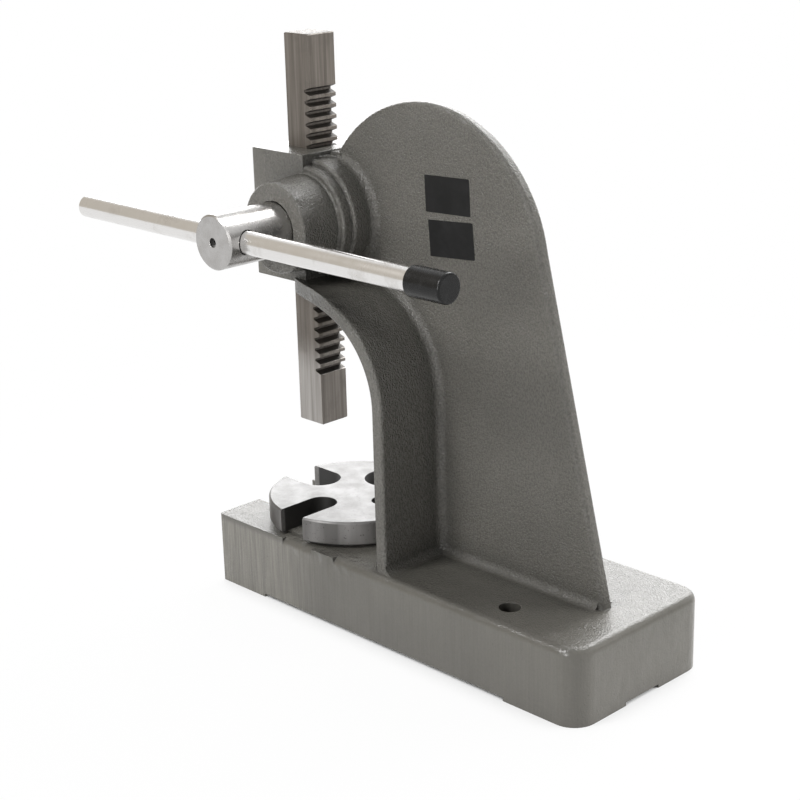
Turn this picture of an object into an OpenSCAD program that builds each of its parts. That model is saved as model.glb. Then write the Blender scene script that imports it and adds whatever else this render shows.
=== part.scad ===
// Hand-operated arbor press for a bench: a pinion on a lever shaft drives a toothed ram down
// onto a slotted table plate, all carried by one C-shaped iron casting.
// +X runs to the back, -Y is the lever side and +Z is up. The origin lies on the bench,
// midway between the two bench bolt holes.

/* [Base] */
// Width of the base
base_w = 133; // [128:1:150]
// Height of the base
base_h = 54; // [48:1:70]
// Base length in front of the bolt holes
base_front = 273.5; // [265:0.5:290]
// Base length behind the bolt holes
base_back = 78.5; // [66:0.5:110]
// Radius of the two back corners
back_corner_r = 17; // [8:1:24]
// Radius of the two front corners
front_corner_r = 2.5; // [1:0.5:6]
// Rounding of the cast top edges
base_edge_r = 6; // [3:0.5:8]
// Width of the open fork in front
fork_w = 55; // [40:1:60]
// Length of the fork from the front end to its round end
fork_l = 64.5; // [50:0.5:66]
// Wall of the hollow underside
base_wall = 12; // [8:0.5:16]
// Thickness of the base's top
base_top_t = 14; // [10:0.5:18]
// Height of the feet that stand proud of the underside
foot_h = 2.5; // [1:0.25:4]
// Length of the front feet
front_foot_l = 49; // [30:1:60]
// Length of the back feet
back_foot_l = 63; // [45:1:64]
// Width of the gap between the two back feet
back_foot_gap = 34; // [20:1:60]

/* [Bench bolts] */
// Distance between the two bench bolt holes
bolt_spacing = 84; // [76:1:92]
// Diameter of a bench bolt hole
bolt_hole_d = 15; // [10:0.5:17]
// Diameter of the boss round each bolt hole under the base
bolt_boss_d = 32; // [26:1:36]

/* [Frame] */
// Distance from the ram's axis to the line of the bolt holes
ram_to_bolts = 225; // [220:0.5:230]
// Throat, from the ram's axis to the front of the cross web
throat = 117; // [105:0.5:122]
// Thickness of the cross web
web_t = 10; // [8:0.5:14]
// Width of the cross web
web_w = 122.8; // [100:0.2:126]
// Radius inside the arch of the cross web
arch_r = 65.5; // [58:0.5:72]
// Height of the arch's centre
arch_z = 170; // [160:0.5:180]
// Thickness of the back rib
rib_t = 10; // [8:0.5:14]
// Radius of the rib's round top
rib_r = 105; // [98:0.5:110]
// Height of the centre of the rib's round top
rib_z = 267; // [262:0.5:272]
// Distance from the ram's axis back to the centre of the rib's round top
rib_dx = 115; // [110:0.5:118]
// Lean of the rib's straight back edge
rib_lean = 13.6; // [11:0.1:14]
// Rounding of the rib's edge
rib_edge_r = 3.5; // [1:0.25:3.75]
// Fillet in the corners of the casting
fillet_r = 6; // [3:0.5:8]
// Rounding of the web's edges
web_edge_r = 2.5; // [1:0.25:3.5]
// Distance from the ram's axis back to where the web starts to narrow
taper_dx = 95; // [90:1:100]
// Radius of the curve that narrows the web towards the head
taper_r = 150; // [130:1:180]

/* [Head] */
// Width of the head
head_w = 66; // [62:1:74]
// Height of the head's underside
head_z0 = 238.5; // [236:0.5:242]
// Height of the head's top
head_z1 = 330.5; // [327:0.5:336]
// Distance from the ram's axis to the back of the head block
head_back = 25.5; // [20:0.5:28]
// Radius of the round pinion housing
housing_r = 38.5; // [38:0.25:40]
// Width of the round pinion housing
housing_w = 65; // [60:0.5:65]
// Radius of the ring where the housing grows out of the rib
ring_r = 41; // [40.5:0.25:43]
// Width of that ring
ring_w = 49; // [44:1:54]
// Radius of the two shaft bosses at their outer ends
boss_r = 31.5; // [28:0.25:32]
// Draft of the bosses, which grow thicker towards their roots
boss_draft = 4; // [1:0.25:4.5]
// Reach of the lever-side boss from the middle of the frame
near_boss_y = 62.5; // [52:0.5:74]
// Reach of the far-side boss from the middle of the frame
far_boss_y = 42; // [38:0.5:50]
// Fillet at the root of each boss
boss_fillet_r = 2; // [1:0.25:2.25]
// Radius in plan of the neck between the head block and the rib
neck_r = 18; // [14:0.5:19]
// Thickness of the front cover
cover_t = 14.5; // [12:0.5:18]
// Thickness of the gib strip behind the cover
gib_t = 2.9; // [2:0.1:4]
// Rounding of the cover's upright edges
cover_edge_r = 3; // [1:0.25:4]
// Spread of the cover screws across the head
cover_screw_w = 47; // [45:0.5:50]
// Distance of the cover screws from the head's top and bottom
cover_screw_inset = 14; // [11:0.5:18]

/* [Ram and pinion] */
// Side of the square ram
ram_s = 25; // [24:0.5:26]
// Length of the ram
ram_l = 285.5; // [280:0.5:300]
// Height of the ram's nose above the bench
ram_z0 = 124.6; // [110:0.1:150]
// Module of the rack and pinion
gear_m = 2.5; // [2.25:0.05:2.6]
// Teeth on the pinion
pinion_teeth = 13; // [13:1:14]
// Height of the pinion's axis
pinion_z = 284; // [281:0.5:287]
// Rack slots below the pinion's axis
slots_below = 15; // [10:1:15]
// Rack slots above the pinion's axis
slots_above = 11; // [8:1:11]
// Play between the rack and pinion flanks at the pitch line
backlash = 0.35; // [0.2:0.05:0.6]
// Width of the pinion's teeth
pinion_w = 28; // [26:0.5:30]
// How much the lever-side shaft stands over the tips of the teeth, in diameter
shaft_over_teeth = 0.5; // [0.2:0.1:3]
// Diameter of the far-side journal
far_journal_d = 28; // [24:0.5:30]
// Reach of the shaft's lever end from the middle of the frame
shaft_end_y = 116.6; // [112:0.2:125]
// Distance from the shaft's lever end to the lever hole
lever_hole_inset = 15.6; // [12:0.2:18]
// Radial play of a turning or sliding fit
run_gap = 0.05; // [0.02:0.01:0.09]
// Play on each side of the ram in its guide
ram_gap = 0.1; // [0.05:0.01:0.2]

/* [Collar] */
// Thickness of the thrust washer
washer_t = 3; // [2:0.25:5]
// Diameter of the thrust washer
washer_d = 52; // [44:1:60]
// Width of the retaining collar
collar_w = 14; // [12:0.5:18]
// Diameter of the retaining collar
collar_d = 46; // [42:0.5:52]

/* [Lever] */
// Diameter of the lever bar
lever_d = 16; // [14:0.5:16]
// Play of the lever bar in its hole
lever_gap = 0.5; // [0.3:0.05:0.7]
// Reach of the capped end from the shaft's axis
lever_back = 205; // [190:1:240]
// Reach of the bare end from the shaft's axis
lever_front = 167.7; // [150:0.1:200]
// Diameter of the end cap
cap_d = 20; // [19:0.25:22]
// Length of the end cap
cap_l = 30; // [24:0.5:36]
// Thickness of the end cap's closed end
cap_end_t = 3.5; // [2:0.25:6]

/* [Table plate] */
// Diameter of the table plate
plate_d = 128; // [118:1:130]
// Thickness of the table plate
plate_t = 18; // [14:0.5:22]
// Distance from the ram's axis back to the middle of the plate
plate_dx = 31; // [29:0.5:34]
// Height of the machined seat under the plate
seat_h = 2; // [1:0.25:3]
// Diameter of the machined seat
seat_d = 112; // [100:1:116]
// Diameter of the pin that the plate turns on
pin_d = 16; // [12:0.5:16]
// Depth of the pin in the plate
pin_up = 9; // [6:0.5:12]
// Depth of the pin in the base
pin_down = 24; // [16:0.5:28]
// Chamfer of the plate's edge
plate_chamfer = 1.2; // [0.4:0.1:2]
// Width of the slot that faces the front
slot_front_w = 30.5; // [28:0.5:32]
// Width of the slot that faces the lever side
slot_near_w = 23.5; // [20:0.5:25]
// Width of the slot that faces the far side
slot_far_w = 36; // [34:0.5:37]
// Width of the slot that faces the back
slot_back_w = 17; // [14:0.5:18]
// Distance from the middle of the plate to the round end of the front slot
slot_front_tip = 22.5; // [20:0.5:26]
// Distance from the middle of the plate to the round end of the lever-side slot
slot_near_tip = 22; // [20:0.5:26]
// Distance from the middle of the plate to the round end of the far-side slot
slot_far_tip = 17; // [16:0.5:22]
// Distance from the middle of the plate to the round end of the back slot
slot_back_tip = 22; // [20:0.5:26]

/* [Fasteners] */
// Diameter of the cover screws and the gib set screws
screw_d = 8; // [6:0.5:8]
// Length of the cover screws under the head
cover_screw_l = 26; // [20:1:28]
// Diameter of a cap screw's head
screw_head_d = 13; // [11:0.5:13]
// Across flats of the hexagon sockets in the cap screws
socket_af = 6; // [4:0.5:6]
// Across flats of the lock nuts
nut_af = 13; // [11:0.5:14]
// Thickness of the lock nuts
nut_t = 5; // [4:0.25:6.5]
// Length of the gib set screws
set_screw_l = 25; // [24:0.5:30]
// Height of the lower gib set screw above the head's underside
set_screw_low = 24; // [20:0.5:30]
// Depth of the upper gib set screw below the head's top
set_screw_high = 24; // [20:0.5:30]
// Diameter of the grub screw in the shaft's end
grub_d = 6.5; // [5:0.25:7]
// Length of the grub screw in the shaft's end
grub_l = 4.5; // [4:0.25:5]
// Across flats of the sockets in the grub and set screws
grub_af = 3; // [2:0.25:3.5]

/* [Hidden] */
$fn = 96;
// How far a cut runs past the face that it opens, and a fillet runs into what it joins
over = 1;
cast_grey = [0.36, 0.36, 0.34];
steel_grey = [0.62, 0.60, 0.58];
bright_steel = [0.80, 0.80, 0.80];
ram_brown = [0.50, 0.47, 0.44];
dark_steel = [0.22, 0.22, 0.23];
cap_black = [0.05, 0.05, 0.05];

ram_x = -ram_to_bolts;
foot_x0 = -base_front + front_foot_l;
foot_x1 = base_back - back_foot_l;
web_x = ram_x + throat;
web_back_x = web_x + web_t;
arch_x = web_x - arch_r;
arch_out_r = arch_r + web_t;
arch_top_z = arch_z + arch_out_r;
rib_x = ram_x + rib_dx;
taper_x = ram_x + taper_dx;
// The narrowing curve starts this far outside the web, so that it cuts its side at an angle
taper_spare = 0.3;
// The rib's straight edge meets its round top at this slight angle, so that they cross cleanly
rib_crease = 3;
rim_edge_share = 0.94;
rib_foot_x = rib_x + (rib_r + (rib_z - base_h) * sin(rib_lean)) / cos(rib_lean);
head_back_x = ram_x + head_back;
neck_x = ram_x + head_back / 2;
plate_x = ram_x + plate_dx;
plate_r = plate_d / 2;
plate_z0 = base_h + seat_h;
plate_z1 = plate_z0 + plate_t;
fork_x = -base_front + fork_l - fork_w / 2;
// The base is solid from the fork back to here, round the pin of the plate
solid_behind_pin = 24;
hollow_x0 = plate_x + pin_d / 2 + solid_behind_pin;
hollow_x1 = base_back - base_wall;
hollow_h = base_h - base_top_t;
machined_behind_plate = 7;
notch_share = [0.19, 0.37];

// Rack and pinion: the rack's teeth are stubbed so that a small pinion runs without undercut
pressure_angle = 20;
rack_stub_share = 0.75;
rack_root_share = 1.49;
root_clear_share = 0.2;
rack_pitch = PI * gear_m;
rack_tip_x = ram_x + ram_s / 2;
rack_line_x = rack_tip_x - rack_stub_share * gear_m;
rack_root_x = rack_line_x - rack_root_share * gear_m;
slot_line_w = rack_pitch / 2 + backlash;
slot_tip_w = slot_line_w + 2 * rack_stub_share * gear_m * tan(pressure_angle);
slot_root_w = slot_line_w - 2 * rack_root_share * gear_m * tan(pressure_angle);
pitch_r = gear_m * pinion_teeth / 2;
base_circle_r = pitch_r * cos(pressure_angle);
tip_r = pitch_r + gear_m;
root_r = pitch_r - (rack_stub_share + root_clear_share) * gear_m;
pinion_x = rack_line_x + pitch_r;
shaft_r = tip_r + shaft_over_teeth / 2;
far_journal_r = far_journal_d / 2;
// End play of the shaft between the step in its bore and the thrust washer
end_play = 0.3;
shaft_chamfer = 1.2;
lever_y = -shaft_end_y + lever_hole_inset;
lever_r = lever_d / 2;
lever_chamfer = 1.5;
lever_hole_r = lever_r + lever_gap;
washer_y = far_boss_y + end_play;
collar_y = washer_y + washer_t;
far_end_y = collar_y + collar_w;
collar_chamfer = 1;
collar_screw_l = 8;

// Guide of the ram, closed in front by the gib strip and the cover
guide_half = ram_s / 2 + ram_gap;
gib_gap = 0.1;
seam_x = ram_x - guide_half - gib_t;
cover_front_x = seam_x - cover_t;
head_h = head_z1 - head_z0;
ram_chamfer = 0.8;
screw_head_h = 8;
head_sink = 0.6;
head_play = 0.5;
cbore_floor_x = cover_front_x + screw_head_h + head_sink;
thread_gap = 0.05;
tip_gap = 0.05;
socket_depth = 4;
grub_socket_depth = 2.5;
cover_screw_x1 = cbore_floor_x + cover_screw_l;
screw_hole_spare = 2;
housing_edge_r = 2;
boss_chamfer = 1;
// Relief at the mouth of the shaft's bore
bore_relief = 0.6;
bore_relief_l = 2.5;
cove_sink = 0.35;
ring_up = 1;
neck_drop = 3;
neck_top_spare = 1.5;
neck_top_half = rib_t / 2 + neck_top_spare;
neck_top_l = 10;
// The web's end behind the head lies a little in front of the head's back face
web_end_lap = 0.5;
web_end_x = head_back_x - web_end_lap;
saddle_lap = 0.2;
saddle_x0 = head_back_x - saddle_lap;
saddle_near = 44;
saddle_far_gap = 2;
saddle_far = far_boss_y - saddle_far_gap;
saddle_l = 11;
saddle_into_boss = 3;
round_steps = 180;

// Polar angle of the involute of the base circle where it has the given radius
function involute_angle(r) =
    let (roll = sqrt(pow(r / base_circle_r, 2) - 1)) roll * 180 / PI - atan(roll);
// Half the angle of one tooth at a radius between the base circle and the tip
function tooth_half_angle(r) = 90 / pinion_teeth + involute_angle(pitch_r) - involute_angle(r);
function polar(r, a) = [r * cos(a), r * sin(a)];

// Stands a drawing made in X and Z up along Y, from y0 to y1
module along_y(y0, y1) {
    translate([0, y1, 0]) rotate([90, 0, 0]) linear_extrude(y1 - y0) children();
}

// Stands a drawing made in Y and Z out along X, from x0 to x1
module along_x(x0, x1) {
    translate([x0, 0, 0]) rotate([90, 0, 90]) linear_extrude(x1 - x0) children();
}

// Turns a section, drawn as radius and distance towards -Y, round an axis along Y
module round_y(x, z, start, sweep) {
    translate([x, 0, z]) rotate([90, 0, 0]) rotate([0, 0, start])
        rotate_extrude(angle = sweep, $fn = round_steps) children();
}

// A round bar along Y, from y0 to y1, at a place in X and Z
module rod_y(x, z, y0, y1, r) {
    translate([x, y1, z]) rotate([90, 0, 0]) cylinder(h = y1 - y0, r = r);
}

// A round bar along X, from x0 to x1, at a place in Y and Z
module rod_x(x0, x1, y, z, r) {
    translate([x0, y, z]) rotate([0, 90, 0]) cylinder(h = x1 - x0, r = r);
}

// Repeats something on both sides of the frame
module both_sides() {
    children();
    mirror([0, 1, 0]) children();
}

// Section of a fillet in an inside corner at the origin, with its tail sunk into both walls
module cove(r) {
    difference() {
        translate([-over, -over]) square(r + over);
        translate([r, r]) circle(r);
    }
}

// Section of what is taken off to round an outside edge, seen from the centre of the rounding
module edge_cut(r) {
    difference() {
        square(r + over);
        circle(r);
    }
}

// Plan of the base: sharp in front and round at the back
module base_plan() {
    translate([-base_front + front_corner_r, -base_w / 2])
        square([base_front + base_back - front_corner_r - back_corner_r, base_w]);
    translate([-base_front, -base_w / 2 + front_corner_r])
        square([2 * front_corner_r, base_w - 2 * front_corner_r]);
    translate([base_back - 2 * back_corner_r, -base_w / 2 + back_corner_r])
        square([2 * back_corner_r, base_w - 2 * back_corner_r]);
    for (s = [-1, 1]) {
        translate([-base_front + front_corner_r, s * (base_w / 2 - front_corner_r)])
            circle(front_corner_r);
        translate([base_back - back_corner_r, s * (base_w / 2 - back_corner_r)])
            circle(back_corner_r);
    }
}

// Rounding of the cast top edges: both sides behind the machined front, and round the back
module base_edge_cuts() {
    side_y = base_w / 2 - base_edge_r;
    edge_z = base_h - base_edge_r;
    back_x = base_back - back_corner_r;
    corner_y = base_w / 2 - back_corner_r;
    both_sides() {
        along_x(plate_x - machined_behind_plate, plate_x + plate_d * notch_share[0])
            translate([side_y, edge_z]) edge_cut(base_edge_r);
        along_x(plate_x + plate_d * notch_share[1], back_x)
            translate([side_y, edge_z]) edge_cut(base_edge_r);
        translate([back_x, corner_y, edge_z]) rotate_extrude(angle = 90)
            translate([back_corner_r - base_edge_r, 0]) edge_cut(base_edge_r);
    }
    along_y(-corner_y, corner_y)
        translate([base_back - base_edge_r, edge_z]) edge_cut(base_edge_r);
}

// Hollow of the underside, in two chambers with a cross wall under the web
module base_hollow() {
    half = base_w / 2 - base_wall;
    translate([hollow_x0, -half, -over])
        cube([web_x - hollow_x0, 2 * half, hollow_h + over]);
    translate([web_back_x, -half, -over])
        cube([hollow_x1 - web_back_x, 2 * half, hollow_h + over]);
}

// Low ground between the feet: along both sides and in the middle of the back
module foot_relief() {
    translate([foot_x0, -base_w, -over])
        cube([foot_x1 - foot_x0, 2 * base_w, foot_h + over]);
    translate([foot_x1 - over, -back_foot_gap / 2, -over])
        cube([back_foot_l + 2 * over, back_foot_gap, foot_h + over]);
}

module base_body() {
    difference() {
        union() {
            difference() {
                linear_extrude(base_h) base_plan();
                base_hollow();
                foot_relief();
            }
            for (s = [-1, 1]) translate([0, s * bolt_spacing / 2, 0])
                cylinder(h = base_h - base_top_t / 2, d = bolt_boss_d);
            translate([plate_x, 0, base_h - over]) cylinder(h = seat_h + over, d = seat_d);
        }
        base_edge_cuts();
        translate([0, 0, -over]) linear_extrude(plate_z0 + 2 * over) {
            translate([fork_x, 0]) circle(d = fork_w);
            translate([-base_front - over, -fork_w / 2])
                square([fork_x + base_front + over, fork_w]);
        }
    }
}

// The open throat, drawn in X and Z, grown by t to draw the outside of the web
module throat_shape(t) {
    translate([neck_x, base_h - over]) square([web_x + t - neck_x, arch_z - base_h + over]);
    translate([neck_x, arch_z - over]) square([arch_x - neck_x, arch_r + t + over]);
    translate([arch_x, arch_z]) circle(arch_r + t, $fn = round_steps);
}

// Section of the web's edges: X outwards from the throat and Y across, all four corners rounded
module web_section() {
    difference() {
        translate([0, -web_w / 2]) square([web_t, web_w]);
        both_sides() {
            translate([web_t - web_edge_r, web_w / 2 - web_edge_r]) edge_cut(web_edge_r);
            translate([web_edge_r, web_w / 2 - web_edge_r]) mirror([1, 0]) edge_cut(web_edge_r);
        }
    }
}

// What narrows the web towards the head: all that lies outside two large circles in plan, and
// the strips beside the head's guide, in front of the web's end
module taper_cuts() {
    centre_y = web_w / 2 + taper_spare - taper_r;
    both_sides() translate([0, 0, arch_z]) linear_extrude(head_z0 - arch_z + web_t) {
        difference() {
            translate([neck_x - over, 0]) square([taper_x - neck_x + over, web_w]);
            translate([taper_x, centre_y]) circle(taper_r, $fn = round_steps);
        }
        translate([neck_x - over, head_w / 2 - 2 * over])
            square([web_end_x - neck_x + over, web_w]);
    }
}

// The cross web: up from the base, round the arch and forward into the head
module cross_web() {
    translate([web_x, 0, base_h - over]) linear_extrude(arch_z - base_h + over) web_section();
    difference() {
        union() {
            round_y(arch_x, arch_z, 0, 90) translate([arch_r, 0]) web_section();
            translate([neck_x, 0, arch_z + arch_r]) rotate([90, 0, 90])
                linear_extrude(arch_x - neck_x) rotate(90) mirror([0, 1]) web_section();
        }
        taper_cuts();
    }
}

// Section across the rib's edge: the edge at X = 0 and the rib towards -X, both corners rounded
module rib_section(w, r) {
    difference() {
        translate([-w, -rib_t / 2]) square([w, rib_t]);
        both_sides() translate([-r, rib_t / 2 - r]) edge_cut(r);
    }
}

// The back rib: a round plate over the head and a straight leaning plate down to the base
module rib() {
    chord_r = rib_r * cos(rib_crease);
    corner = [rib_x, rib_z] + polar(chord_r, rib_lean);
    inside_x = corner[0] - 2 * rib_edge_r;
    back_edge_l = (corner[1] - base_h) / cos(rib_lean) + 2 * over;
    difference() {
        union() {
            round_y(rib_x, rib_z, 0, 360)
                translate([rib_r, 0]) rib_section(rib_r, rib_edge_r * rim_edge_share);
            translate([corner[0], 0, corner[1]]) rotate([0, -rib_lean, 0])
                translate([0, 0, -back_edge_l]) linear_extrude(back_edge_l)
                rib_section(3 * rib_edge_r, rib_edge_r);
            along_y(-rib_t / 2, rib_t / 2)
                polygon([[inside_x, corner[1]], [rib_foot_x - 2 * rib_edge_r, base_h - over],
                    [web_x + over, base_h - over], [arch_x, arch_z], [head_back_x, head_z0],
                    [rib_x, rib_z]]);
        }
        along_y(-rib_t, rib_t) throat_shape(web_t / 2);
        translate([ram_x - rib_r, -rib_t, head_z0 - rib_r])
            cube([neck_x + rib_r - ram_x, 2 * rib_t, 2 * rib_r]);
    }
}

// Fillets where the rib meets the web and the base, and where the web meets the base
module frame_fillets() {
    half_rib = rib_t / 2;
    both_sides() {
        round_y(arch_x, arch_z, 0, 90) translate([arch_out_r, half_rib]) cove(fillet_r);
        translate([web_back_x, half_rib, base_h - over])
            linear_extrude(arch_z - base_h + over) cove(fillet_r);
        along_x(head_back_x - over, arch_x) translate([half_rib, arch_top_z]) cove(fillet_r);
        along_x(web_back_x - over, rib_foot_x - half_rib)
            translate([half_rib, base_h]) cove(fillet_r);
    }
    along_y(-web_w / 2, web_w / 2) {
        translate([web_back_x, base_h]) cove(fillet_r);
        translate([web_x, base_h]) mirror([1, 0]) cove(fillet_r);
    }
}

// A round slab across the frame on the pinion's axis, rim rounded, out to the given half width
module drum(z, r, half) {
    difference() {
        rod_y(pinion_x, z, -half, half, r);
        both_sides() round_y(pinion_x, z, 0, 360)
            translate([r - housing_edge_r, half - housing_edge_r]) edge_cut(housing_edge_r);
    }
}

// The head: a square block for the ram's guide and a round housing for the pinion
module head() {
    ring_z = pinion_z + ring_up;
    translate([seam_x, -head_w / 2, head_z0]) cube([head_back_x - seam_x, head_w, head_h]);
    drum(pinion_z, housing_r, housing_w / 2);
    drum(ring_z, ring_r, ring_w / 2);
    both_sides() round_y(pinion_x, ring_z, -90, 170)
        translate([ring_r, rib_t / 2]) cove(fillet_r);
    boss(near_boss_y);
    mirror([0, 1, 0]) boss(far_boss_y);
    neck();
    // The casting fills the narrow gap between the web and the bosses
    translate([saddle_x0, -saddle_near, arch_top_z - web_t / 2])
        cube([saddle_l, saddle_near + saddle_far,
            pinion_z - boss_r + saddle_into_boss - arch_top_z + web_t / 2]);
}

// The neck between the head block and the rib: hollow corners in plan and a flat top
module neck() {
    translate([0, 0, pinion_z]) {
        both_sides() linear_extrude(head_z1 - neck_drop - pinion_z)
            translate([head_back_x, rib_t / 2]) cove(neck_r);
        translate([head_back_x - over, -neck_top_half, 0])
            cube([neck_top_l + over, 2 * neck_top_half, head_z1 - over - pinion_z]);
    }
}

// One shaft boss, out to the given reach towards -Y, with its draft, root fillet and chamfer
module boss(reach) {
    half = housing_w / 2;
    root_r = boss_r + (reach - half) * tan(boss_draft);
    round_y(pinion_x, pinion_z, 0, 360) {
        translate([root_r - cove_sink, half]) cove(boss_fillet_r);
        polygon([[0, 0], [root_r + 2 * over * tan(boss_draft), 0],
            [root_r + 2 * over * tan(boss_draft), half - 2 * over],
            [boss_r + boss_chamfer * tan(boss_draft), reach - boss_chamfer],
            [boss_r - boss_chamfer, reach], [0, reach]]);
    }
}

// Everything that is bored or cut in the head: the guide, the stepped bore and the screw holes
module head_cuts() {
    translate([seam_x - over, -guide_half, head_z0 - web_t])
        cube([2 * guide_half + gib_t + over, 2 * guide_half, head_h + web_t + over]);
    rod_y(pinion_x, pinion_z, -near_boss_y - over, pinion_w / 2 + end_play, shaft_r + run_gap);
    rod_y(pinion_x, pinion_z, 0, far_boss_y + over, far_journal_r + run_gap);
    rod_y(pinion_x, pinion_z, -near_boss_y - over, -near_boss_y + bore_relief_l,
        shaft_r + bore_relief);
    cover_screw_places()
        rod_x(seam_x - over, cover_screw_x1 + screw_hole_spare, 0, 0, screw_d / 2 + thread_gap);
}

// The four places of the cover screws, in Y and Z
module cover_screw_places() {
    for (y = [-1, 1] * cover_screw_w / 2)
        for (z = [head_z0 + cover_screw_inset, head_z1 - cover_screw_inset])
            translate([0, y, z]) children();
}

// The heights of the gib set screws
module set_screw_places() {
    for (z = [head_z0 + set_screw_low, head_z1 - set_screw_high])
        translate([0, 0, z]) children();
}

module frame_casting() {
    color(cast_grey) difference() {
        union() {
            base_body();
            cross_web();
            rib();
            frame_fillets();
            head();
        }
        head_cuts();
        for (s = [-1, 1]) translate([0, s * bolt_spacing / 2, -over])
            cylinder(h = base_h + 2 * over, d = bolt_hole_d);
        translate([plate_x, 0, plate_z0 - pin_down])
            cylinder(h = pin_down + over, d = pin_d + 2 * run_gap);
    }
}

module front_cover() {
    color(cast_grey) difference() {
        translate([cover_front_x, -head_w / 2, head_z0]) cube([cover_t, head_w, head_h]);
        both_sides() translate([cover_front_x + cover_edge_r, head_w / 2 - cover_edge_r, head_z0 - over])
            linear_extrude(head_h + 2 * over) mirror([1, 0]) edge_cut(cover_edge_r);
        along_y(-head_w, head_w) {
            translate([cover_front_x + cover_edge_r, head_z1 - cover_edge_r])
                mirror([1, 0]) edge_cut(cover_edge_r);
            translate([cover_front_x + cover_edge_r, head_z0 + cover_edge_r])
                rotate(180) edge_cut(cover_edge_r);
        }
        cover_screw_places() {
            rod_x(cover_front_x - over, seam_x + over, 0, 0, screw_d / 2 + head_play);
            rod_x(cover_front_x - over, cbore_floor_x, 0, 0, screw_head_d / 2 + head_play);
        }
        set_screw_places()
            rod_x(cover_front_x - over, seam_x + over, 0, 0, screw_d / 2 + thread_gap);
    }
}

// A hexagon socket cut along X, open towards -X at x
module socket_x(x, depth, af) {
    rod_x_hex(x - over, x + depth, af);
}

module rod_x_hex(x0, x1, af) {
    translate([x0, 0, 0]) rotate([0, 90, 0])
        linear_extrude(x1 - x0) circle(d = af / cos(30), $fn = 6);
}

module cover_screws() {
    color(dark_steel) cover_screw_places() difference() {
        union() {
            rod_x(cbore_floor_x - screw_head_h, cbore_floor_x, 0, 0, screw_head_d / 2);
            rod_x(cbore_floor_x - over, cover_screw_x1, 0, 0, screw_d / 2);
        }
        socket_x(cbore_floor_x - screw_head_h, socket_depth, socket_af);
    }
}

module gib_strip() {
    color(steel_grey) translate([seam_x, -ram_s / 2, head_z0])
        cube([gib_t - gib_gap, ram_s, head_h]);
}

module gib_set_screws() {
    tip_x = seam_x - tip_gap;
    color(dark_steel) set_screw_places() difference() {
        rod_x(tip_x - set_screw_l, tip_x, 0, 0, screw_d / 2);
        socket_x(tip_x - set_screw_l, socket_depth, socket_af * screw_d / 12);
    }
}

module gib_lock_nuts() {
    color(dark_steel) set_screw_places() difference() {
        rod_x_hex(cover_front_x - nut_t, cover_front_x, nut_af);
        rod_x(cover_front_x - nut_t - over, cover_front_x + over, 0, 0, screw_d / 2 + thread_gap);
    }
}

// Side view of the ram in X and Z, with the rack's slots in its back face
module ram_side() {
    front_x = ram_x - ram_s / 2;
    z1 = ram_z0 + ram_l;
    slots = [for (i = [-slots_below : slots_above]) let (z = pinion_z + i * rack_pitch) each
        [[rack_tip_x, z - slot_tip_w / 2], [rack_root_x, z - slot_root_w / 2],
        [rack_root_x, z + slot_root_w / 2], [rack_tip_x, z + slot_tip_w / 2]]];
    polygon(concat(
        [[front_x, ram_z0 + ram_chamfer], [front_x + ram_chamfer, ram_z0],
        [rack_tip_x - ram_chamfer, ram_z0], [rack_tip_x, ram_z0 + ram_chamfer]],
        slots,
        [[rack_tip_x, z1 - ram_chamfer], [rack_tip_x - ram_chamfer, z1],
        [front_x + ram_chamfer, z1], [front_x, z1 - ram_chamfer]]));
}

// A square with its four corners cut off
module chamfered_square(w, h, c) {
    polygon([[-w / 2 + c, -h / 2], [w / 2 - c, -h / 2], [w / 2, -h / 2 + c], [w / 2, h / 2 - c],
        [w / 2 - c, h / 2], [-w / 2 + c, h / 2], [-w / 2, h / 2 - c], [-w / 2, -h / 2 + c]]);
}

module ram() {
    color(ram_brown) intersection() {
        along_y(-ram_s / 2, ram_s / 2) ram_side();
        translate([ram_x, 0, ram_z0]) linear_extrude(ram_l)
            chamfered_square(ram_s, ram_s, ram_chamfer / 2);
        translate([0, 0, ram_z0 + ram_l / 2]) along_x(ram_x - ram_s, ram_x + ram_s)
            chamfered_square(ram_s, ram_l, ram_chamfer);
    }
}

// Outline of the pinion's teeth in X and Z, with one tooth facing the rack
module pinion_teeth_shape() {
    flank_steps = 6;
    radii = [for (i = [0 : flank_steps])
        base_circle_r + (tip_r - base_circle_r) * i / flank_steps];
    half_root = tooth_half_angle(base_circle_r);
    tooth_angle = 360 / pinion_teeth;
    polygon([for (k = [0 : pinion_teeth - 1]) let (a = 180 + k * tooth_angle) each concat(
        [polar(root_r, a - tooth_angle / 2), polar(root_r, a - half_root)],
        [for (r = radii) polar(r, a - tooth_half_angle(r))],
        [for (i = [flank_steps : -1 : 0]) polar(radii[i], a + tooth_half_angle(radii[i]))],
        [polar(root_r, a + half_root)])]);
}

// A round bar along Y with both ends chamfered
module chamfered_rod_y(y0, y1, r, c) {
    translate([pinion_x, y1, pinion_z]) rotate([90, 0, 0]) rotate_extrude()
        polygon([[0, 0], [r - c, 0], [r, c], [r, y1 - y0 - c], [r - c, y1 - y0], [0, y1 - y0]]);
}

module pinion_shaft() {
    color(bright_steel) difference() {
        union() {
            chamfered_rod_y(-shaft_end_y, -pinion_w / 2, shaft_r, shaft_chamfer);
            translate([pinion_x, 0, pinion_z])
                along_y(-pinion_w / 2 - over, pinion_w / 2) pinion_teeth_shape();
            chamfered_rod_y(0, far_end_y, far_journal_r, shaft_chamfer);
        }
        rod_x(pinion_x - 2 * shaft_r, pinion_x + 2 * shaft_r, lever_y, pinion_z, lever_hole_r);
        rod_y(pinion_x, pinion_z, -shaft_end_y - over, lever_y, grub_d / 2 + thread_gap);
    }
}

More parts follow.
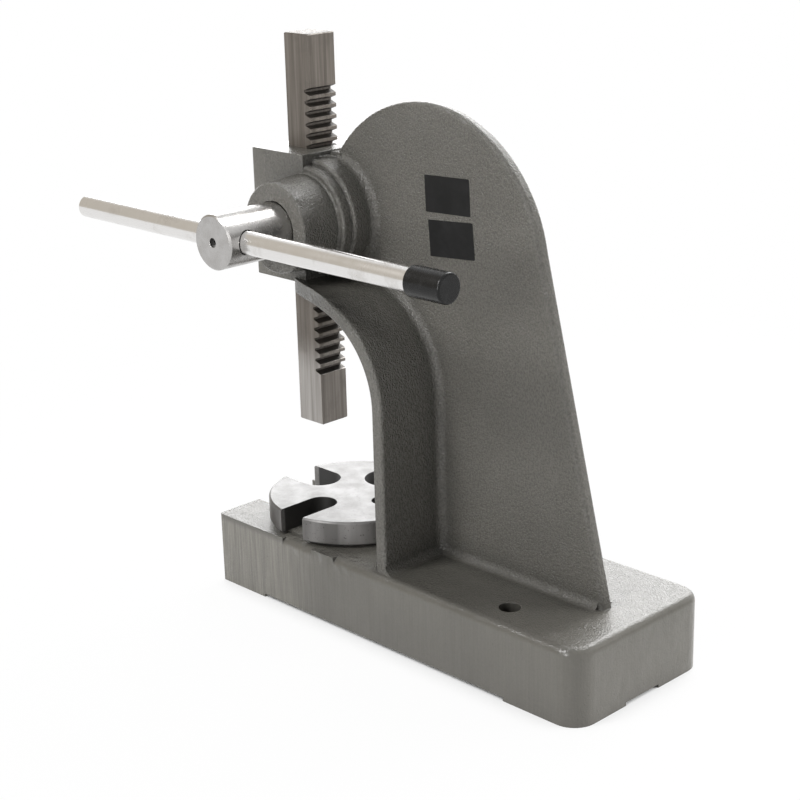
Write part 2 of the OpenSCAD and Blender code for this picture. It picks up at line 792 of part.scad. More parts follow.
module thrust_washer() {
    color(steel_grey) difference() {
        rod_y(pinion_x, pinion_z, washer_y, washer_y + washer_t, washer_d / 2);
        rod_y(pinion_x, pinion_z, washer_y - over, washer_y + washer_t + over,
            far_journal_r + run_gap);
    }
}

module retaining_collar() {
    color(steel_grey) difference() {
        chamfered_rod_y(collar_y, far_end_y, collar_d / 2, collar_chamfer);
        rod_y(pinion_x, pinion_z, collar_y - over, far_end_y + over, far_journal_r + run_gap);
        translate([pinion_x, collar_y + collar_w / 2, pinion_z])
            cylinder(h = collar_d, d = grub_d + 2 * thread_gap);
    }
}

module collar_set_screw() {
    z0 = pinion_z + far_journal_r + run_gap;
    color(dark_steel) translate([pinion_x, collar_y + collar_w / 2, z0]) difference() {
        cylinder(h = collar_screw_l, d = grub_d);
        translate([0, 0, collar_screw_l - grub_socket_depth]) linear_extrude(grub_socket_depth + over)
            circle(d = grub_af / cos(30), $fn = 6);
    }
}

module lever_bar() {
    x0 = pinion_x - lever_front;
    x1 = pinion_x + lever_back - cap_end_t;
    color(bright_steel) translate([x0, lever_y, pinion_z]) rotate([0, 90, 0]) rotate_extrude()
        polygon([[0, 0], [lever_r - lever_chamfer, 0], [lever_r, lever_chamfer],
            [lever_r, x1 - x0], [0, x1 - x0]]);
}

module lever_cap() {
    x1 = pinion_x + lever_back;
    edge = (cap_d - lever_d) / 2.5;
    color(cap_black) difference() {
        rod_x(x1 - cap_l, x1, lever_y, pinion_z, cap_d / 2);
        rod_x(x1 - cap_l - over, x1 - cap_end_t, lever_y, pinion_z, lever_r);
        translate([x1 - edge, lever_y, pinion_z]) rotate([0, 90, 0]) rotate_extrude()
            translate([cap_d / 2 - edge, 0]) edge_cut(edge);
    }
}

module lever_grub_screw() {
    y1 = lever_y - lever_r - lever_gap;
    color(dark_steel) difference() {
        rod_y(pinion_x, pinion_z, y1 - grub_l, y1, grub_d / 2);
        translate([pinion_x, 0, pinion_z]) along_y(y1 - grub_l - over, y1 - grub_l + grub_socket_depth)
            circle(d = grub_af / cos(30), $fn = 6);
    }
}

// One slot of the table plate, open outwards, at an angle from +X
module plate_slot(angle, w, tip) {
    rotate(angle) {
        translate([tip + w / 2, 0]) circle(d = w);
        translate([tip + w / 2, -w / 2]) square([plate_d, w]);
    }
}

module table_plate() {
    c = plate_chamfer;
    color(steel_grey) difference() {
        translate([plate_x, 0, plate_z0]) rotate_extrude($fn = round_steps)
            polygon([[0, 0], [plate_r - c, 0], [plate_r, c], [plate_r, plate_t - c],
                [plate_r - c, plate_t], [0, plate_t]]);
        translate([plate_x, 0, plate_z0 - over]) linear_extrude(plate_t + 2 * over) {
            plate_slot(180, slot_front_w, slot_front_tip);
            plate_slot(-90, slot_near_w, slot_near_tip);
            plate_slot(90, slot_far_w, slot_far_tip);
            plate_slot(0, slot_back_w, slot_back_tip);
        }
        translate([plate_x, 0, plate_z0 - over])
            cylinder(h = pin_up + 2 * over, d = pin_d + 2 * run_gap);
    }
}

module table_pin() {
    color(dark_steel) translate([plate_x, 0, plate_z0 - pin_down])
        cylinder(h = pin_down + pin_up, d = pin_d);
}

frame_casting();
front_cover();
cover_screws();
gib_strip();
gib_set_screws();
gib_lock_nuts();
ram();
pinion_shaft();
thrust_washer();
retaining_collar();
collar_set_screw();
lever_bar();
lever_cap();
lever_grub_screw();
table_plate();
table_pin();
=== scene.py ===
# %% [markdown]
# # A hand press, dressed in cast iron, paint and steel
#
# The construction is already finished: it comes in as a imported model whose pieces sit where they
# belong, in metres, with the bench at Z = 0. This script gives it its looks. We never touch a
# loaded mesh. We give each one a procedural material, add the thin things that a construction
# drawing leaves out, and set up a plain studio with the camera where the photographer stood.

import math

import bmesh
import bpy
from mathutils import Matrix, Vector


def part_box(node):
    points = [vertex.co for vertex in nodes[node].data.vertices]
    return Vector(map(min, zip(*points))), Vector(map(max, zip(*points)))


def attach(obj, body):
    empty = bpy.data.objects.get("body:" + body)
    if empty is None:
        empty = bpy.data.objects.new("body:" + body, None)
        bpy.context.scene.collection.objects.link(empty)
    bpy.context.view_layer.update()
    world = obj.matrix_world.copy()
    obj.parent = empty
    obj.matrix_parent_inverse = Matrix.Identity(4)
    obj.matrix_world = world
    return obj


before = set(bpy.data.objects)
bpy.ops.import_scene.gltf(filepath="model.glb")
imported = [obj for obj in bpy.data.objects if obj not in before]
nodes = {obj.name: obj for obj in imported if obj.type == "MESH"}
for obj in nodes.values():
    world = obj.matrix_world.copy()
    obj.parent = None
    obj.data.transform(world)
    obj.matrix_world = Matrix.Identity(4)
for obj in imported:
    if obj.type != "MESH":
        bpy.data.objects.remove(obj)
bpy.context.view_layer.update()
print("pieces in the model:", sorted(nodes))

# %% [markdown]
# ## Units and small helpers
#
# Blender works in metres here, while a machine shop thinks in millimetres, so we name the
# millimetre once and write sizes with it. Materials are node trees. To keep each recipe short we
# wrap a material in a small class: `node` adds a node with its settings and plugs, so a recipe
# reads from top to bottom like a list of ingredients.

# %% Millimetres and a small recipe book for materials
MM = 0.001


class Recipe:
    """A material under construction: a principled shader, its output and object coordinates."""

    def __init__(self, name):
        self.material = bpy.data.materials.new(name)
        self.material.use_nodes = True
        self.tree = self.material.node_tree
        self.shader = self.tree.nodes["Principled BSDF"]
        self.place = self.node("ShaderNodeTexCoord").outputs["Object"]

    def node(self, kind, settings=None, **plugs):
        """Adds a node. Plugs are inputs by name: a number, a colour or another node's output."""
        made = self.tree.nodes.new(kind)
        for key, value in (settings or {}).items():
            setattr(made, key, value)
        for key, value in plugs.items():
            self.plug(made.inputs[key.replace("_", " ")], value)
        return made

    def plug(self, socket, value):
        if isinstance(value, bpy.types.NodeSocket):
            self.tree.links.new(value, socket)
        else:
            socket.default_value = value

    def shine(self, **plugs):
        """Sets inputs of the principled shader."""
        for key, value in plugs.items():
            self.plug(self.shader.inputs[key.replace("_", " ")], value)

    def stretched(self, scale):
        """Object coordinates scaled by a different amount along X, Y and Z."""
        return self.node("ShaderNodeMapping", Vector=self.place, Scale=scale).outputs["Vector"]

    def noise(self, scale, detail=2.0, along=None, roughness=0.5):
        """Cloudy noise. Scale is in cells per metre, and along stretches it."""
        place = self.stretched(along) if along else self.place
        made = self.node("ShaderNodeTexNoise", Vector=place, Scale=scale, Detail=detail)
        made.inputs["Roughness"].default_value = roughness
        return made.outputs["Fac"]

    def remap(self, value, low, high, to_low=0.0, to_high=1.0, smooth=False):
        """Stretches a value from one range to another and clips it there."""
        kind = "SMOOTHSTEP" if smooth else "LINEAR"
        made = self.node("ShaderNodeMapRange", {"interpolation_type": kind}, Value=value)
        for key, number in zip(("From Min", "From Max", "To Min", "To Max"),
                               (low, high, to_low, to_high)):
            made.inputs[key].default_value = number
        return made.outputs["Result"]

    def maths(self, operation, a, b):
        made = self.node("ShaderNodeMath", {"operation": operation})
        self.plug(made.inputs[0], a)
        self.plug(made.inputs[1], b)
        return made.outputs["Value"]

    def blend(self, share, a, b):
        """Mixes two colours: a where the share is 0 and b where it is 1."""
        made = self.node("ShaderNodeMix", {"data_type": "RGBA"})
        self.plug(made.inputs["Factor"], share)
        self.plug(made.inputs[6], a)
        self.plug(made.inputs[7], b)
        return made.outputs[2]

    def bump(self, height, size, strength=1.0, over=None):
        """A relief of the given height in metres, laid over an earlier one."""
        made = self.node("ShaderNodeBump", Height=height, Distance=size, Strength=strength)
        if over is not None:
            self.plug(made.inputs["Normal"], over)
        return made.outputs["Normal"]

    def axis(self, which, source=None):
        """One coordinate of the place, or of another vector."""
        parts = self.node("ShaderNodeSeparateXYZ", Vector=source or self.place)
        return parts.outputs[which]

    def facing(self, which):
        """How far the surface faces along an axis, from -1 to 1."""
        return self.axis(which, self.node("ShaderNodeNewGeometry").outputs["Normal"])

    def steep(self, low=0.3, high=0.8):
        """1 on upright walls and 0 on level faces."""
        return self.remap(self.maths("ABSOLUTE", self.facing("Z"), 0.0), low, high, 1.0, 0.0)

    def soft_edges(self, radius):
        """The surface's direction, turned smoothly over sharp edges as if they were rounded."""
        return self.node("ShaderNodeBevel", {"samples": 6}, Radius=radius).outputs["Normal"]

    def along_edges(self, rounded):
        """1 along the edges that soft_edges rounds and 0 on the faces between them."""
        flat = self.node("ShaderNodeNewGeometry").outputs["Normal"]
        turn = self.node("ShaderNodeVectorMath", {"operation": "DOT_PRODUCT"})
        self.plug(turn.inputs[0], rounded)
        self.plug(turn.inputs[1], flat)
        return self.remap(turn.outputs["Value"], 0.90, 0.99, 1.0, 0.0)

    def far_from(self, x, y):
        """The distance from an upright axis through X and Y."""
        shift = self.node("ShaderNodeMapping", Vector=self.place, Location=(-x, -y, 0),
                          Scale=(1, 1, 0))
        length = self.node("ShaderNodeVectorMath", {"operation": "LENGTH"},
                           Vector=shift.outputs[0])
        return length.outputs["Value"]


def grey(level, warmth=0.0):
    """A near-neutral colour: warmth moves a little from blue to red."""
    return (level * (1 + warmth), level, level * (1 - warmth), 1.0)


def dress(recipe, *names):
    """Gives the recipe's material to loaded pieces."""
    for name in names:
        slots = nodes[name].data.materials
        slots.clear()
        slots.append(recipe.material)
    print(recipe.material.name, "on", ", ".join(names))


# %% [markdown]
# ## Grey enamel on rough cast iron
#
# The frame and its front cover are cast in sand and brushed with thick grey enamel. Sand leaves a
# pebbled skin that the paint softens but doesn't hide: on upright walls the pebbles run a little
# upright, because wet paint sags, and their low points get painted shade. The sides of the base
# are smoother. Towards the front they were filed before they were painted, so they keep upright
# lines there, and that filed front is painted lighter, partly for the filing and partly as painted
# light.
# A picture texture would show seams, so we grow each relief from noise and choose between them by
# height and by which way the surface faces. A bevel node rounds every sharp edge a little for the
# light, which gives the thin bright lines of thick paint, and a painted highlight in patches along
# those edges adds to them, together with a little rubbed paint. Painted shade darkens the inner
# corners, where an ambient occlusion node finds other surfaces close by.

# %% Enamel
base_top = 54 * MM
base_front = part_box("frame_casting")[0].x
paint_edge = 0.8 * MM
corner_reach = 22 * MM
dent_start, dent_end, dent_fade = -208 * MM, -116 * MM, 8 * MM
dent_inner, dent_outer = -50 * MM, -56 * MM
filed_length, filed_end = 60 * MM, 120 * MM


def enamel_grey(level):
    """The enamel's grey, a little warm and greenish, at the given brightness."""
    return (level * 1.05, level, level * 0.88, 1.0)


def dents(r):
    """1 where the near top edge of the base is badly cast, between the table plate and the web."""
    length = r.maths("MULTIPLY",
                     r.remap(r.axis("X"), dent_start, dent_start + dent_fade, smooth=True),
                     r.remap(r.axis("X"), dent_end - dent_fade, dent_end, 1.0, 0.0, smooth=True))
    edge = r.maths("MULTIPLY",
                   r.remap(r.axis("Y"), dent_inner, dent_outer, smooth=True),
                   r.remap(r.axis("Z"), base_top - 12 * MM, base_top - 6 * MM, smooth=True))
    return r.maths("MULTIPLY", length, edge)


def enamel(name, pebble_share=1.0):
    """The painted skin. A smaller pebble share makes it smoother."""
    r = Recipe(name)
    height = r.axis("Z")
    upright = r.steep()
    low = r.remap(height, base_top - 6 * MM, base_top - 1 * MM, 1.0, 0.0, smooth=True)
    ground_side = r.maths("MULTIPLY", upright, low)
    above = r.remap(height, base_top - 3 * MM, base_top + 3 * MM, 0.2, 1.0, smooth=True)
    rounded = r.soft_edges(paint_edge)
    sagged = r.noise(1.0, along=(780, 780, 520))
    pebbles = r.noise(800, detail=2.5, roughness=0.55)
    grain = r.noise(1500, detail=1.0)
    dips = r.noise(75, detail=2.0)
    lines = r.noise(1.0, detail=4.0, along=(700, 700, 22), roughness=0.6)
    skin = r.bump(dips, 1.6 * MM, 0.5, over=rounded)
    fine = r.maths("MULTIPLY", above, pebble_share)
    skin = r.bump(sagged, 0.7 * MM, r.maths("MULTIPLY", fine, upright), over=skin)
    skin = r.bump(pebbles, 0.95 * MM, fine, over=skin)
    skin = r.bump(grain, 0.3 * MM, fine, over=skin)
    front = r.remap(r.axis("X"), base_front + filed_length, base_front + filed_end, 1.0, 0.15,
                    smooth=True)
    filed_and_lit_side = r.maths("MULTIPLY", front, ground_side)
    skin = r.bump(lines, 0.25 * MM, filed_and_lit_side, over=skin)
    dented = dents(r)
    skin = r.bump(r.noise(110, detail=1.0), 2.0 * MM, dented, over=skin)
    cloud = r.remap(r.noise(16, detail=3.0), 0.3, 0.7)
    tone = r.blend(cloud, enamel_grey(0.114), enamel_grey(0.138))
    # Painted shade: the low points of the sagging relief are painted darker.
    painted_pebble_shade = r.maths("MULTIPLY", r.remap(sagged, 0.34, 0.6, 0.5, 0.0), fine)
    tone = r.blend(painted_pebble_shade, tone, enamel_grey(0.06))
    # The filed front of the base's sides is painted lighter, fading towards the back: partly the
    # filing's own lines and partly painted light falling on the front.
    streaks = r.blend(r.remap(lines, 0.35, 0.65), enamel_grey(0.16), enamel_grey(0.23))
    tone = r.blend(filed_and_lit_side, tone, streaks)
    # Painted shade: the inner corners that the ambient occlusion node finds are painted darker.
    corner = r.node("ShaderNodeAmbientOcclusion", {"samples": 8, "only_local": True},
                    Distance=corner_reach)
    painted_corner_shade = r.remap(corner.outputs["AO"], 0.35, 0.95, 0.7, 0.0)
    tone = r.blend(painted_corner_shade, tone, enamel_grey(0.035))
    specks = r.remap(r.noise(480, detail=2.0), 0.70, 0.76, 0.0, 0.35)
    tone = r.blend(specks, tone, enamel_grey(0.05))
    # Painted highlight with a little rubbed paint: patches along the rounded edges are painted a
    # lighter grey.
    rubbed_and_lit_patches = r.remap(r.noise(210, detail=4.0), 0.52, 0.66)
    edge_highlight_and_wear = r.maths("MULTIPLY", r.along_edges(rounded), rubbed_and_lit_patches)
    tone = r.blend(r.maths("MULTIPLY", edge_highlight_and_wear, 0.7), tone, enamel_grey(0.32))
    gloss = r.remap(r.noise(45, detail=3.0), 0.3, 0.7, 0.13, 0.23)
    gloss = r.maths("SUBTRACT", gloss, r.maths("MULTIPLY", dented, 0.07))
    r.shine(Base_Color=tone, Roughness=gloss, Normal=skin)
    return r


dress(enamel("grey enamel on cast iron"), "frame_casting")
dress(enamel("grey enamel on the cover", 0.6), "front_cover")

# %% [markdown]
# ## The machined table plate
#
# The plate turns on its pin and carries the work, so its top is machined flat and left bare. Seen
# at a flat angle it looks almost white, with a faint mottle and a few dark pits. The rim is
# duller, with broad upright bands of painted reflection, and the walls of the slots are nearly
# black with scale and oil. Height can't tell a slot's wall from the rim, but the distance from
# the plate's own axis can.

# %% Plate iron
plate_low, plate_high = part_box("table_plate")
plate_middle = (plate_low + plate_high) / 2
rim_radius = (plate_high.y - plate_low.y) / 2


def plate_iron():
    r = Recipe("machined plate iron")
    rounded = r.soft_edges(0.6 * MM)
    wall = r.steep(0.5, 0.9)
    out = r.far_from(plate_middle.x, plate_middle.y)
    inside = r.remap(out, rim_radius - 3 * MM, rim_radius - 1.5 * MM, 1.0, 0.0)
    slot_wall = r.maths("MULTIPLY", wall, inside)
    painted_reflection_bands = r.noise(1.0, detail=3.0, along=(55, 55, 5))
    mottle = r.noise(70, detail=5.0, roughness=0.6)
    pits = r.remap(r.noise(650, detail=1.0), 0.67, 0.73)
    top = r.blend(r.remap(mottle, 0.35, 0.7), grey(0.16, 0.01), grey(0.11, 0.03))
    # Painted reflection: the rim's light and dark upright bands stand in for the room mirrored in
    # it.
    rim = r.blend(r.remap(painted_reflection_bands, 0.38, 0.62), grey(0.11, 0.04), grey(0.26, 0.03))
    tone = r.blend(wall, top, rim)
    tone = r.blend(r.maths("MULTIPLY", pits, 0.7), tone, grey(0.05, 0.05))
    tone = r.blend(slot_wall, tone, grey(0.016, 0.06))
    metal = r.remap(slot_wall, 0.0, 1.0, 0.5, 0.1)
    rough = r.remap(mottle, 0.3, 0.7, 0.3, 0.42)
    rough = r.maths("ADD", rough, r.maths("MULTIPLY", wall, 0.1))
    relief = r.bump(mottle, 0.12 * MM, 0.4, over=rounded)
    relief = r.bump(r.noise(900, detail=2.0), 0.03 * MM, 0.5, over=relief)
    r.shine(Base_Color=tone, Metallic=metal, Roughness=rough, Normal=relief)
    return r


dress(plate_iron(), "table_plate")

# %% [markdown]
# ## The ram
#
# The ram is drawn square steel with a rack milled into its back. Handling leaves it brown-grey
# with streaks that run the way it slides, and oil and grit gather in the slots. Its lower end
# hangs clear of the head and is wiped brighter by the work, except on the greasy side with the
# rack. We stretch noise along Z for the streaks, and darken what lies deeper than the tips of the
# teeth, down to the floor of the slots.

# %% Ram steel
ram_low, ram_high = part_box("ram")
wiped_length = 70 * MM
grime_start, grime_full = 0.3 * MM, 1.2 * MM
slot_floor, slot_behind = 5.2 * MM, 6.5 * MM


def ram_steel():
    r = Recipe("drawn ram steel")
    rounded = r.soft_edges(0.4 * MM)
    streaks = r.noise(1.0, detail=5.0, along=(330, 330, 7), roughness=0.6)
    stains = r.noise(38, detail=4.0, roughness=0.6)
    oiled = r.blend(r.remap(streaks, 0.35, 0.65), grey(0.08, 0.17), grey(0.16, 0.13))
    bare = r.blend(r.remap(streaks, 0.35, 0.65), grey(0.24, 0.07), grey(0.40, 0.05))
    upper = r.remap(r.axis("Z"), ram_low.z + 0.5 * wiped_length, ram_low.z + wiped_length,
                    0.0, 1.0, smooth=True)
    rack_side = r.remap(r.facing("X"), 0.4, 0.7)
    greasy = r.maths("MAXIMUM", upper, r.maths("MULTIPLY", rack_side, 0.8))
    tone = r.blend(greasy, bare, oiled)
    tone = r.blend(r.remap(stains, 0.55, 0.75, 0.0, 0.5), tone, grey(0.07, 0.15))
    deep = r.remap(r.axis("X"), ram_high.x - grime_full, ram_high.x - grime_start, 1.0, 0.0)
    behind = r.remap(r.axis("X"), ram_high.x - slot_behind, ram_high.x - slot_floor, 0.0, 1.0)
    edge_on = r.remap(r.maths("ABSOLUTE", r.facing("Y"), 0.0), 0.3, 0.7, 1.0, 0.0)
    slots = r.maths("MULTIPLY", r.maths("MULTIPLY", deep, behind), edge_on)
    tone = r.blend(r.maths("MULTIPLY", slots, 0.85), tone, grey(0.025, 0.15))
    rough = r.remap(streaks, 0.3, 0.7, 0.42, 0.3)
    rough = r.maths("ADD", rough, r.maths("MULTIPLY", greasy, 0.08))
    metal = r.remap(greasy, 0.0, 1.0, 0.8, 0.45)
    relief = r.bump(streaks, 0.05 * MM, 0.6, over=rounded)
    r.shine(Base_Color=tone, Metallic=metal, Roughness=rough, Normal=relief)
    return r


dress(ram_steel(), "ram")

# %% [markdown]
# ## Turned and bright steel
#
# The pinion shaft, its washer and its collar come off a lathe, so their surface is a stack of very
# fine rings round their axis. The gib strip and the table pin hardly show, and share the washer's
# steel. The lever is bright drawn bar with scratches along its length. All of it is pure metal:
# what we see in it is the room, so the relief and the roughness do the work.

# %% Steel from the lathe and the drawing bench
def turned_steel(name, level):
    """Steel with fine rings round the Y axis, at the given brightness."""
    r = Recipe(name)
    rounded = r.soft_edges(0.4 * MM)
    rings = r.noise(1.0, detail=3.0, along=(8, 1500, 8), roughness=0.6)
    marks = r.noise(120, detail=4.0)
    dull = r.remap(marks, 0.4, 0.75, 0.0, 0.5)
    tone = r.blend(dull, grey(level, 0.02), grey(level * 0.65, 0.05))
    relief = r.bump(rings, 0.02 * MM, 0.5, over=rounded)
    r.shine(Base_Color=tone, Metallic=1.0, Roughness=r.remap(marks, 0.3, 0.7, 0.2, 0.32),
            Normal=relief)
    return r


def bright_bar():
    r = Recipe("bright drawn bar")
    scratches = r.noise(1.0, detail=4.0, along=(12, 800, 800), roughness=0.65)
    marks = r.noise(60, detail=5.0, roughness=0.6)
    scuffs = r.remap(marks, 0.52, 0.72, 0.0, 0.5)
    tone = r.blend(scuffs, grey(0.75, 0.015), grey(0.48, 0.06))
    relief = r.bump(scratches, 0.025 * MM, 0.5)
    r.shine(Base_Color=tone, Metallic=1.0, Roughness=r.remap(marks, 0.3, 0.75, 0.14, 0.3),
            Normal=relief)
    return r


dress(turned_steel("turned shaft steel", 0.47), "pinion_shaft")
dress(turned_steel("turned washer steel", 0.5), "thrust_washer", "retaining_collar", "gib_strip",
      "table_pin")
dress(bright_bar(), "lever_bar")

# %% [markdown]
# ## Black oxide and the black cap
#
# The screws and nuts are blackened steel, dark and a little oily. The cap on the lever's end is
# moulded vinyl: black and softly glossy, with pale scuffs and a grain that only its gloss shows.

# %% Screws and cap
def black_oxide():
    r = Recipe("black oxide steel")
    rounded = r.soft_edges(0.25 * MM)
    marks = r.noise(260, detail=3.0)
    tone = r.blend(r.remap(marks, 0.4, 0.7), grey(0.03), grey(0.07, 0.03))
    r.shine(Base_Color=tone, Metallic=0.7, Roughness=r.remap(marks, 0.3, 0.7, 0.3, 0.45),
            Normal=r.bump(marks, 0.04 * MM, 0.4, over=rounded))
    return r


def vinyl():
    r = Recipe("black moulded vinyl")
    grain = r.noise(900, detail=2.0)
    scuffs = r.remap(r.noise(150, detail=5.0), 0.55, 0.7, 0.0, 0.5)
    tone = r.blend(r.remap(r.noise(60), 0.4, 0.7), grey(0.005), grey(0.009))
    tone = r.blend(scuffs, tone, grey(0.02))
    r.shine(Base_Color=tone, Roughness=r.remap(grain, 0.3, 0.7, 0.22, 0.3),
            Normal=r.soft_edges(0.4 * MM))
    r.shader.inputs["Specular IOR Level"].default_value = 0.28
    return r


dress(black_oxide(), "cover_screws", "gib_set_screws", "gib_lock_nuts", "collar_set_screw",
      "lever_grub_screw")
dress(vinyl(), "lever_cap")

# %% [markdown]
# ## Two blank labels on the rib
#
# Two small black labels are stuck on the lever side of the rib, one above the other and a little
# askew. They carry nothing here. Each is a thin box: we make a cube, size it, turn it by its tilt
# and round its four corners with a bevel, then sink its back a hair into the paint.

# %% Labels
rib_face_y = -5 * MM
label_w, label_h, label_t = 41 * MM, 25 * MM, 0.25 * MM
label_sunk = 0.05 * MM
label_corner = 0.8 * MM


def label_film():
    r = Recipe("black label film")
    grain = r.noise(420, detail=2.0)
    tone = r.blend(r.remap(r.noise(90), 0.4, 0.7), grey(0.007), grey(0.012))
    r.shine(Base_Color=tone, Roughness=r.remap(grain, 0.3, 0.7, 0.36, 0.46),
            Normal=r.bump(grain, 0.05 * MM, 0.4))
    r.shader.inputs["Specular IOR Level"].default_value = 0.2
    return r


def label(name, x, z, tilt, finish):
    """A thin film centred at X and Z on the rib. Tilt, in degrees, lifts its back end."""
    bm = bmesh.new()
    bmesh.ops.create_cube(bm, size=1.0)
    bmesh.ops.scale(bm, vec=(label_w, label_t, label_h), verts=bm.verts)
    across = [e for e in bm.edges if abs((e.verts[0].co - e.verts[1].co).y) > label_t / 2]
    bmesh.ops.bevel(bm, geom=across, offset=label_corner, segments=4, profile=0.5,
                    affect="EDGES", material=-1)
    bmesh.ops.rotate(bm, verts=bm.verts, matrix=Matrix.Rotation(math.radians(-tilt), 3, "Y"))
    bmesh.ops.translate(bm, verts=bm.verts,
                        vec=(x, rib_face_y - label_t / 2 + label_sunk, z))
    mesh = bpy.data.meshes.new(name)
    bm.to_mesh(mesh)
    bm.free()
    made = bpy.data.objects.new(name, mesh)
    bpy.context.scene.collection.objects.link(made)
    made.data.materials.append(finish.material)
    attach(made, "frame")
    print(name, "at", round(x, 4), round(z, 4))


label_finish = label_film()
label("label_upper", -87.5 * MM, 312.3 * MM, 2.2, label_finish)
label("label_lower", -84.3 * MM, 282.8 * MM, 4.1, label_finish)

# %% [markdown]
# ## A plain studio
#
# The press stands on a white sweep. The camera sees plain white behind it, through Light Path's
# camera ray, and metal mirrors that same white, apart from two patches of the room's wall: a dull
# brownish one on the camera's left, which the lever shows as its darker band, and a small dark one
# on the right for the side of the shaft. Near the feet the floor keeps a soft shadow: an ambient
# occlusion node finds where something stands close above the floor. Further out the floor glows
# plain white, so that no horizon shows.

# %% Floor and world
def seen_directly(tree):
    """1 for camera, mirror and glass rays, which see the white studio, and 0 for soft light."""
    path = tree.nodes.new("ShaderNodeLightPath")
    total = path.outputs["Is Camera Ray"]
    for other in ("Is Glossy Ray", "Is Transmission Ray"):
        larger = tree.nodes.new("ShaderNodeMath")
        larger.operation = "MAXIMUM"
        tree.links.new(total, larger.inputs[0])
        tree.links.new(path.outputs[other], larger.inputs[1])
        total = larger.outputs["Value"]
    return total


def ranged(tree, value, from_low, from_high, to_low, to_high):
    """A smooth remap of a value in any node tree."""
    made = tree.nodes.new("ShaderNodeMapRange")
    made.interpolation_type = "SMOOTHSTEP"
    for key, number in zip(("From Min", "From Max", "To Min", "To Max"),
                           (from_low, from_high, to_low, to_high)):
        made.inputs[key].default_value = number
    tree.links.new(value, made.inputs["Value"])
    return made.outputs["Result"]


world = bpy.data.worlds.new("studio")
bpy.context.scene.world = world
world.use_nodes = True
room = world.node_tree
soft_level = 0.03
dull_side = {"centre": (-0.91, -0.33, 0.25), "core": 33, "edge": 44,
             "colour": (0.62, 0.575, 0.51, 1)}
dark_side = {"centre": (0.62, 0.78, 0.06), "core": 12, "edge": 27,
             "colour": (0.14, 0.13, 0.12, 1)}
backdrop = room.nodes["Background"]
level = ranged(room, seen_directly(room), 0.0, 1.0, soft_level, 1.0)
room.links.new(level, backdrop.inputs["Strength"])
direction = room.nodes.new("ShaderNodeTexCoord").outputs["Generated"]
mirrored = room.nodes.new("ShaderNodeLightPath").outputs["Is Glossy Ray"]


def painted_side(below, side):
    """Lays a round patch of the room's wall over the colour below, for mirror rays alone.

    The patch is full up to the core angle from its centre and gone at the edge angle.
    """
    near = room.nodes.new("ShaderNodeVectorMath")
    near.operation = "DOT_PRODUCT"
    near.inputs[1].default_value = Vector(side["centre"]).normalized()
    room.links.new(direction, near.inputs[0])
    patch = ranged(room, near.outputs["Value"], math.cos(math.radians(side["edge"])),
                   math.cos(math.radians(side["core"])), 0.0, 1.0)
    share = room.nodes.new("ShaderNodeMath")
    share.operation = "MULTIPLY"
    room.links.new(patch, share.inputs[0])
    room.links.new(mirrored, share.inputs[1])
    wall = room.nodes.new("ShaderNodeMix")
    wall.data_type = "RGBA"
    wall.inputs[6].default_value = (1, 1, 1, 1)
    if below is not None:
        room.links.new(below, wall.inputs[6])
    wall.inputs[7].default_value = side["colour"]
    room.links.new(share.outputs["Value"], wall.inputs["Factor"])
    return wall.outputs[2]


walls = painted_side(painted_side(None, dull_side), dark_side)
room.links.new(walls, backdrop.inputs["Color"])

floor_half = 20.0
contact_reach = 35 * MM
white_from, white_full = 0.35, 0.9
floor_mesh = bpy.data.meshes.new("floor")
bm = bmesh.new()
bmesh.ops.create_grid(bm, x_segments=1, y_segments=1, size=floor_half)
bm.to_mesh(floor_mesh)
bm.free()
floor = bpy.data.objects.new("floor", floor_mesh)
bpy.context.scene.collection.objects.link(floor)

floor_paint = bpy.data.materials.new("white sweep")
floor_paint.use_nodes = True
sweep = floor_paint.node_tree
matt = sweep.nodes["Principled BSDF"]
matt.inputs["Base Color"].default_value = (0.8, 0.8, 0.8, 1)
matt.inputs["Roughness"].default_value = 0.9
glow = sweep.nodes.new("ShaderNodeEmission")
glow.inputs["Strength"].default_value = 1.0
cover = sweep.nodes.new("ShaderNodeMixShader")
crowded = sweep.nodes.new("ShaderNodeAmbientOcclusion")
crowded.samples = 12
crowded.inputs["Distance"].default_value = contact_reach
uncrowded = ranged(sweep, crowded.outputs["AO"], 0.0, 0.8, 0.0, 1.0)
radius = sweep.nodes.new("ShaderNodeVectorMath")
radius.operation = "LENGTH"
sweep.links.new(sweep.nodes.new("ShaderNodeTexCoord").outputs["Object"], radius.inputs[0])
clear = ranged(sweep, radius.outputs["Value"], white_from, white_full, 0.97, 1.0)
unshaded = sweep.nodes.new("ShaderNodeMath")
unshaded.operation = "MULTIPLY"
sweep.links.new(clear, unshaded.inputs[0])
sweep.links.new(uncrowded, unshaded.inputs[1])
glow_share = sweep.nodes.new("ShaderNodeMath")
glow_share.operation = "MULTIPLY"
sweep.links.new(seen_directly(sweep), glow_share.inputs[0])
sweep.links.new(unshaded.outputs["Value"], glow_share.inputs[1])
sweep.links.new(glow_share.outputs["Value"], cover.inputs["Fac"])
sweep.links.new(matt.outputs["BSDF"], cover.inputs[1])
sweep.links.new(glow.outputs["Emission"], cover.inputs[2])
sweep.links.new(cover.outputs["Shader"], sweep.nodes["Material Output"].inputs["Surface"])
floor.data.materials.append(floor_paint)

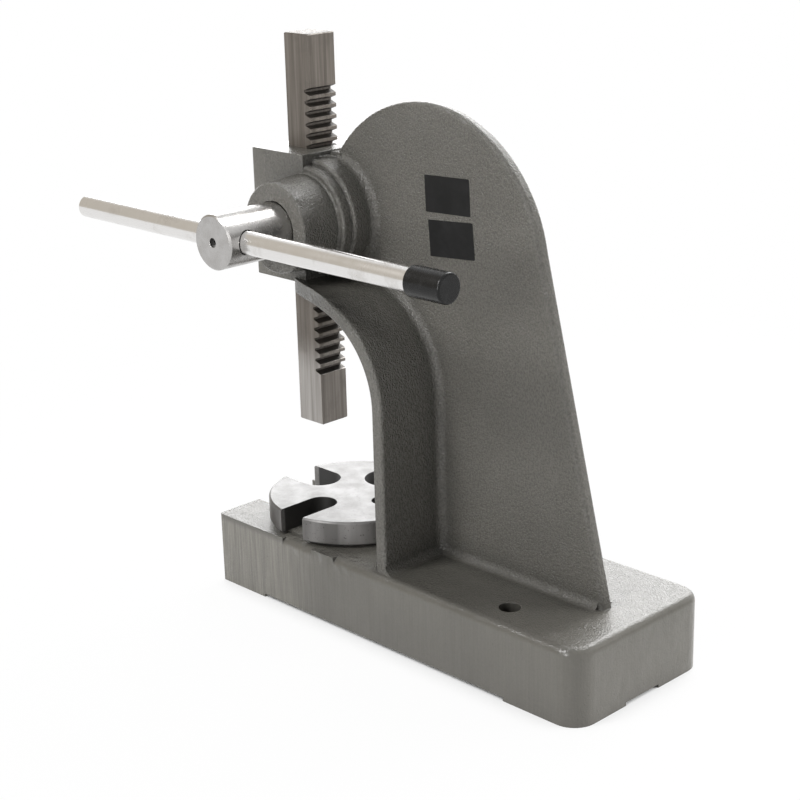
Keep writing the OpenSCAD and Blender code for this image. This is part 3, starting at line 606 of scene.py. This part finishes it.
# %% [markdown]
# ## The lamps
#
# Every lamp is a soft box that faces the press. We place each by the compass: its azimuth turns
# from +X towards +Y, and its elevation rises from the bench. A strong box stands on the right and
# is kept out of mirror reflections. Two weaker ones light the lever side. Across from the camera a
# long low panel whitens whatever it sees at a flat angle, such as the tops of the base and the
# table plate, and a box above it lights the boss and the head.

# %% Soft boxes
press_middle = Vector((-60, 0, 170)) * MM
lamp_distance = 1.4


def soft_box(name, azimuth, elevation, width, height, watts):
    """A rectangular lamp that faces the middle of the press from the given direction."""
    lamp = bpy.data.lights.new(name, "AREA")
    lamp.shape = "RECTANGLE"
    lamp.size, lamp.size_y = width, height
    lamp.energy = watts
    made = bpy.data.objects.new(name, lamp)
    bpy.context.scene.collection.objects.link(made)
    turn, rise = math.radians(azimuth), math.radians(elevation)
    away = Vector((math.cos(rise) * math.cos(turn), math.cos(rise) * math.sin(turn),
                   math.sin(rise)))
    made.location = press_middle + away * lamp_distance
    made.rotation_euler = away.to_track_quat("Z", "Y").to_euler()
    made.visible_camera = False
    return made


right_box = soft_box("right soft box", 45, 15, 0.8, 0.8, 20)
right_box.visible_glossy = False
soft_box("high left soft box", -110, 45, 0.35, 0.35, 10)
soft_box("low left strip", -80, 15, 0.2, 0.6, 7)
soft_box("back panel", 128, 15, 1.7, 0.8, 17)
soft_box("high back soft box", 103, 48, 0.7, 0.7, 16)

# %% [markdown]
# ## The camera
#
# The camera stands behind the press on the lever side and looks slightly down, with a hint of
# roll. The lens is a short telephoto, so the uprights stay nearly parallel.

# %% Camera
camera_place = Vector((709.16, -823.48, 549.53)) * MM
camera_turn, camera_fall, camera_roll = 45.969, 18.357, -1.484
lens = bpy.data.cameras.new("camera")
lens.sensor_width = 36.0
lens.lens = 78.75
camera = bpy.data.objects.new("camera", lens)
bpy.context.scene.collection.objects.link(camera)
camera.matrix_world = (Matrix.Translation(camera_place)
                       @ Matrix.Rotation(math.radians(camera_turn), 4, "Z")
                       @ Matrix.Rotation(math.radians(90 - camera_fall), 4, "X")
                       @ Matrix.Rotation(math.radians(camera_roll), 4, "Z"))
bpy.context.scene.camera = camera
bpy.context.scene.view_settings.view_transform = "Standard"
